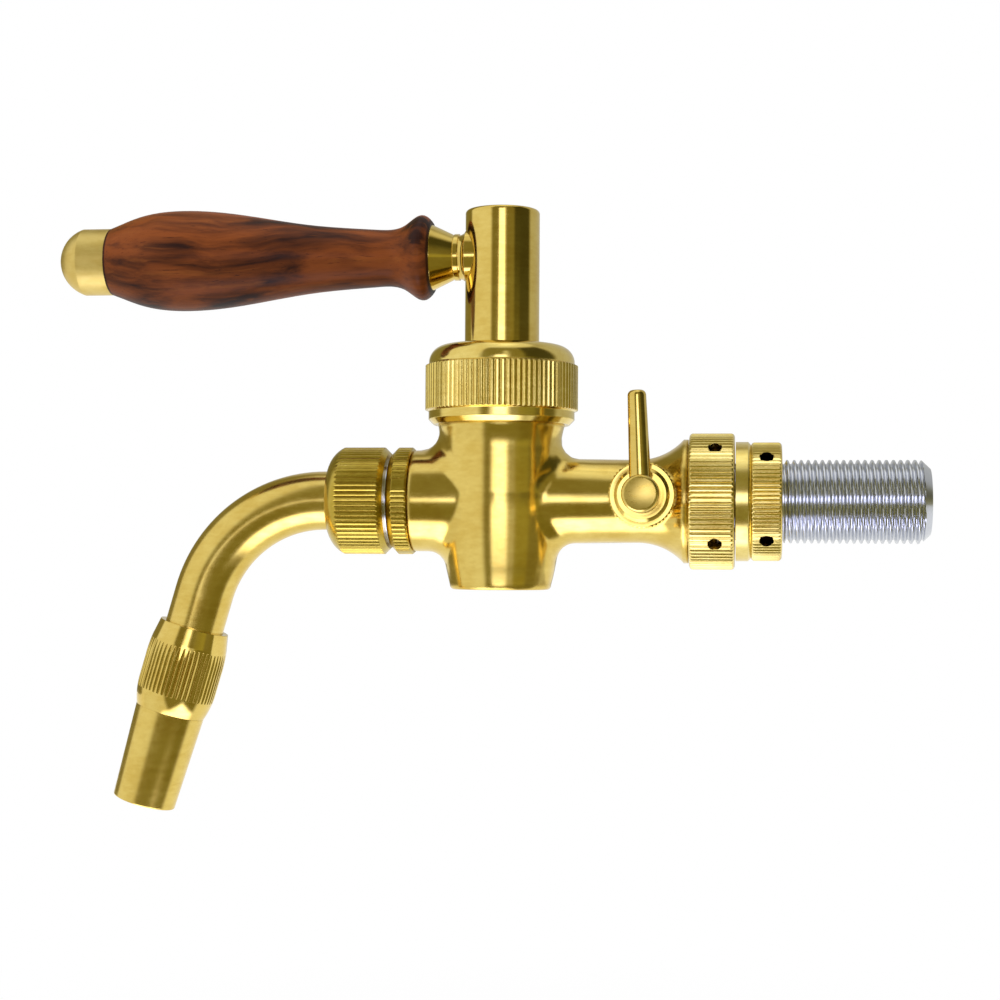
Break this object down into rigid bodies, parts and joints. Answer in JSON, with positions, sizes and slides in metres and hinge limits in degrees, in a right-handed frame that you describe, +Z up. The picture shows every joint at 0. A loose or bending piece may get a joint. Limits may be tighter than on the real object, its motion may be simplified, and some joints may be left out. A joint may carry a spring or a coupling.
{
  "type": "beer faucet",
  "caption": "Side-pull brass beer faucet with an upright spindle and turned wooden handle, bent spout with tapered nozzle, flow compensator lever and threaded stainless shank.",
  "frame": {"origin": "on the shank's axis, in the lock nut's face that bears on the tower", "axes": "+X along the shank into the tower, +Z up along the spindle, -Y the side with the compensator lever"},
  "size_m": [0.2576, 0.0509, 0.1792],
  "materials": {
    "polished_brass": "polished",
    "satin_brass": "satin",
    "aged_brass": "satin, a little darkened",
    "stainless": "turned",
    "hardwood": "satin lacquer",
    "seal_rubber": "matt",
    "seat_plastic": "matt",
    "gasket_fibre": "matt"
  },
  "bodies": {
    "tap": {"faucet_body": "polished_brass", "bonnet_nut": "polished_brass", "bonnet_bushing": "satin_brass", "bonnet_gasket": "gasket_fibre", "stem_o_ring_lower": "seal_rubber", "stem_o_ring_upper": "seal_rubber", "thrust_washer": "seat_plastic", "ball_seat_inlet": "seat_plastic", "ball_seat_outlet": "seat_plastic", "seat_carrier": "stainless", "seat_carrier_o_ring": "seal_rubber", "seat_lock_ring": "aged_brass", "spout_nut": "aged_brass", "spout_gasket": "gasket_fibre", "spout_tube": "polished_brass", "nozzle_collar": "polished_brass", "nozzle_tip": "polished_brass", "nozzle_screen_upper": "stainless", "nozzle_screen_lower": "stainless", "screen_spacer": "stainless", "nozzle_seal": "seal_rubber", "shank": "stainless", "coupling_gasket": "gasket_fibre", "shank_collar": "satin_brass", "coupling_nut": "satin_brass", "lock_nut": "satin_brass", "compensator_gland_nut": "polished_brass", "compensator_o_ring": "seal_rubber"},
    "handle": {"spindle": "polished_brass", "stop_pin": "stainless", "valve_ball": "stainless", "handle_ferrule": "polished_brass", "handle_grip": "hardwood", "handle_knob": "satin_brass", "handle_tie_rod": "stainless"},
    "lever": {"compensator_shaft": "polished_brass", "compensator_lever": "polished_brass"},
    "piston": {"compensator_piston": "seat_plastic"}
  },
  "joints": [
    {"name": "handle_turn", "type": "hinge", "parent": "tap", "child": "handle", "pos_m": [-0.0814, 0, 0.0719], "axis": [0, 0, -1], "range_deg": [0, 90]},
    {"name": "compensator_turn", "type": "hinge", "parent": "tap", "child": "lever", "pos_m": [-0.0392, -0.024, 0.0013], "axis": [0, -1, 0], "range_deg": [-60, 60]},
    {"name": "compensator_slide", "type": "slide", "parent": "tap", "child": "piston", "axis": [-1, 0, 0], "range_m": [-0.00202, 0.00202]}
  ],
  "couplings": [
    {"joint": "compensator_slide", "follows": "compensator_turn", "m_per_rad": 0.001914}
  ]
}
